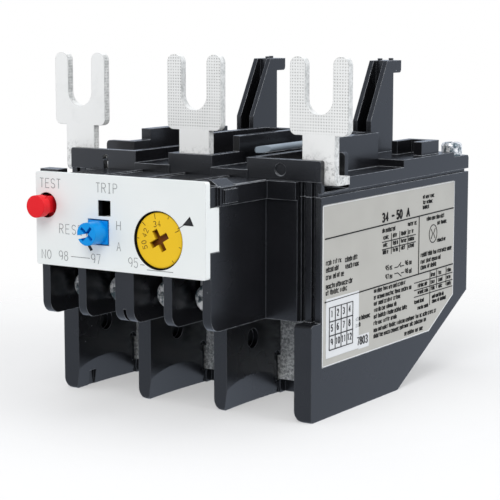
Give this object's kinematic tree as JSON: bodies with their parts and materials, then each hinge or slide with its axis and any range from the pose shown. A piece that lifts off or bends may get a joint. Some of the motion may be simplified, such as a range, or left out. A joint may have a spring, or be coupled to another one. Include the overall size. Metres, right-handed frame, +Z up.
{
  "type": "thermal overload relay",
  "caption": "Thermal overload relay in a black moulded case, with upright fork terminals, a white control panel with dial and buttons, and open terminal cells below",
  "frame": {"origin": "under the middle of the overall box, at the height of the flat bottom", "axes": "+X to the right seen from the control panel, +Y from the control panel to the back, +Z up towards the forks"},
  "size_m": [0.0734, 0.093, 0.0729],
  "materials": {
    "casing_black": "fine matt moulded thermoset",
    "faceplate_white": "smooth satin",
    "label_grey": "printed film",
    "sticker_white": "paper film",
    "conductor_tinned": "matt tin plating",
    "plate_mottled": "mottled plating",
    "zinc_steel": "bright zinc",
    "spring_steel": "drawn wire",
    "contact_brass": "plated brass",
    "bimetal": "rolled strip",
    "heater_alloy": "oxidised alloy strip",
    "mechanism_plastic": "natural moulded",
    "slide_dark": "moulded",
    "bar_grey": "smooth moulded",
    "dial_yellow": "satin",
    "button_red": "satin gloss",
    "button_blue": "satin gloss"
  },
  "bodies": {
    "relay_base": {"main_casing": "casing_black", "top_cover": "casing_black", "control_housing": "casing_black", "faceplate": "faceplate_white", "rating_label": "label_grey", "label_sticker": "sticker_white", "gap_bar": "bar_grey", "compensation_pin": "zinc_steel", "trip_spring": "spring_steel", "cover_screws": "zinc_steel", "cover_washers": "zinc_steel", "load_screws": "zinc_steel", "load_washers": "zinc_steel", "aux_screws": "zinc_steel", "aux_washers": "zinc_steel", "test_spring": "spring_steel", "reset_spring": "spring_steel", "line_conductor_1": "conductor_tinned", "load_plate_1": "plate_mottled", "heater_1": "heater_alloy", "bimetal_bracket_1": "zinc_steel", "line_conductor_2": "conductor_tinned", "load_plate_2": "plate_mottled", "heater_2": "heater_alloy", "bimetal_bracket_2": "zinc_steel", "line_conductor_3": "conductor_tinned", "load_plate_3": "plate_mottled", "heater_3": "heater_alloy", "bimetal_bracket_3": "zinc_steel", "aux_terminal_95": "contact_brass", "aux_terminal_96": "contact_brass", "aux_terminal_97": "contact_brass", "aux_terminal_98": "contact_brass"},
    "test_button": {"test_button": "button_red"},
    "reset_plunger": {"reset_plunger": "button_blue"},
    "reset_knob": {"reset_knob": "button_blue"},
    "setting_dial": {"setting_dial": "dial_yellow"},
    "adjusting_lever": {"adjusting_lever": "mechanism_plastic"},
    "bimetal_1": {"bimetal_1": "bimetal"},
    "bimetal_2": {"bimetal_2": "bimetal"},
    "bimetal_3": {"bimetal_3": "bimetal"},
    "push_bar": {"push_bar": "mechanism_plastic", "differential_lever": "mechanism_plastic"},
    "pull_bar": {"pull_bar": "mechanism_plastic"},
    "compensation_lever": {"compensation_lever": "bimetal"},
    "contact_slide": {"contact_slide": "slide_dark", "nc_bridge": "contact_brass", "no_bridge": "contact_brass"}
  },
  "joints": [
    {"name": "test_press", "type": "slide", "parent": "relay_base", "child": "test_button", "axis": [0, 1, 0], "range_m": [0, 0.0025], "stiffness_N_per_m": 250, "springref_m": -0.002, "deforming": ["test_spring"]},
    {"name": "reset_press", "type": "slide", "parent": "relay_base", "child": "reset_plunger", "axis": [0, 1, 0], "range_m": [0, 0.003], "stiffness_N_per_m": 250, "springref_m": -0.002, "deforming": ["reset_spring"]},
    {"name": "reset_mode_turn", "type": "hinge", "parent": "reset_plunger", "child": "reset_knob", "pos_m": [-0.00695, -0.04525, 0.0381], "axis": [0, 1, 0], "range_deg": [0, 55]},
    {"name": "dial_turn", "type": "hinge", "parent": "relay_base", "child": "setting_dial", "pos_m": [0.00775, -0.04105, 0.03745], "axis": [0, 1, 0], "range_deg": [-120, 120]},
    {"name": "adjusting_swing", "type": "hinge", "parent": "relay_base", "child": "adjusting_lever", "pos_m": [0.0159, -0.03085, 0.0397], "axis": [0, 0, 1], "range_deg": [-4.3, 4.3]},
    {"name": "push_bar_shift", "type": "slide", "parent": "relay_base", "child": "push_bar", "axis": [1, 0, 0], "range_m": [0, 0.0025], "stiffness_N_per_m": 60, "springref_m": -0.001},
    {"name": "pull_bar_shift", "type": "slide", "parent": "relay_base", "child": "pull_bar", "axis": [1, 0, 0], "range_m": [0, 0.0026]},
    {"name": "bimetal_1_bend", "type": "hinge", "parent": "relay_base", "child": "bimetal_1", "pos_m": [-0.01935, 0.00645, 0.0105], "axis": [0, 1, 0], "range_deg": [0, 5.4]},
    {"name": "bimetal_2_bend", "type": "hinge", "parent": "relay_base", "child": "bimetal_2", "pos_m": [0, 0.00645, 0.0105], "axis": [0, 1, 0], "range_deg": [0, 5.4]},
    {"name": "bimetal_3_bend", "type": "hinge", "parent": "relay_base", "child": "bimetal_3", "pos_m": [0.01935, 0.00645, 0.0105], "axis": [0, 1, 0], "range_deg": [0, 5.4]},
    {"name": "compensation_swing", "type": "hinge", "parent": "relay_base", "child": "compensation_lever", "pos_m": [0.0145, -0.01455, 0.0433], "axis": [0, 0, 1], "range_deg": [-10.6, 0]},
    {"name": "contact_trip", "type": "slide", "parent": "relay_base", "child": "contact_slide", "axis": [0, 0, -1], "range_m": [0, 0.0031], "stiffness_N_per_m": 60, "springref_m": -0.001, "deforming": ["trip_spring"]}
  ],
  "couplings": [
    {"joint": "adjusting_swing", "follows": "dial_turn", "ratio": 0.0351},
    {"joint": "pull_bar_shift", "follows": "push_bar_shift", "ratio": 1},
    {"joint": "bimetal_1_bend", "follows": "push_bar_shift", "rad_per_m": 37.17},
    {"joint": "bimetal_2_bend", "follows": "push_bar_shift", "rad_per_m": 37.17},
    {"joint": "bimetal_3_bend", "follows": "push_bar_shift", "rad_per_m": 37.17},
    {"joint": "compensation_swing", "follows": "push_bar_shift", "rad_per_m": -73}
  ]
}
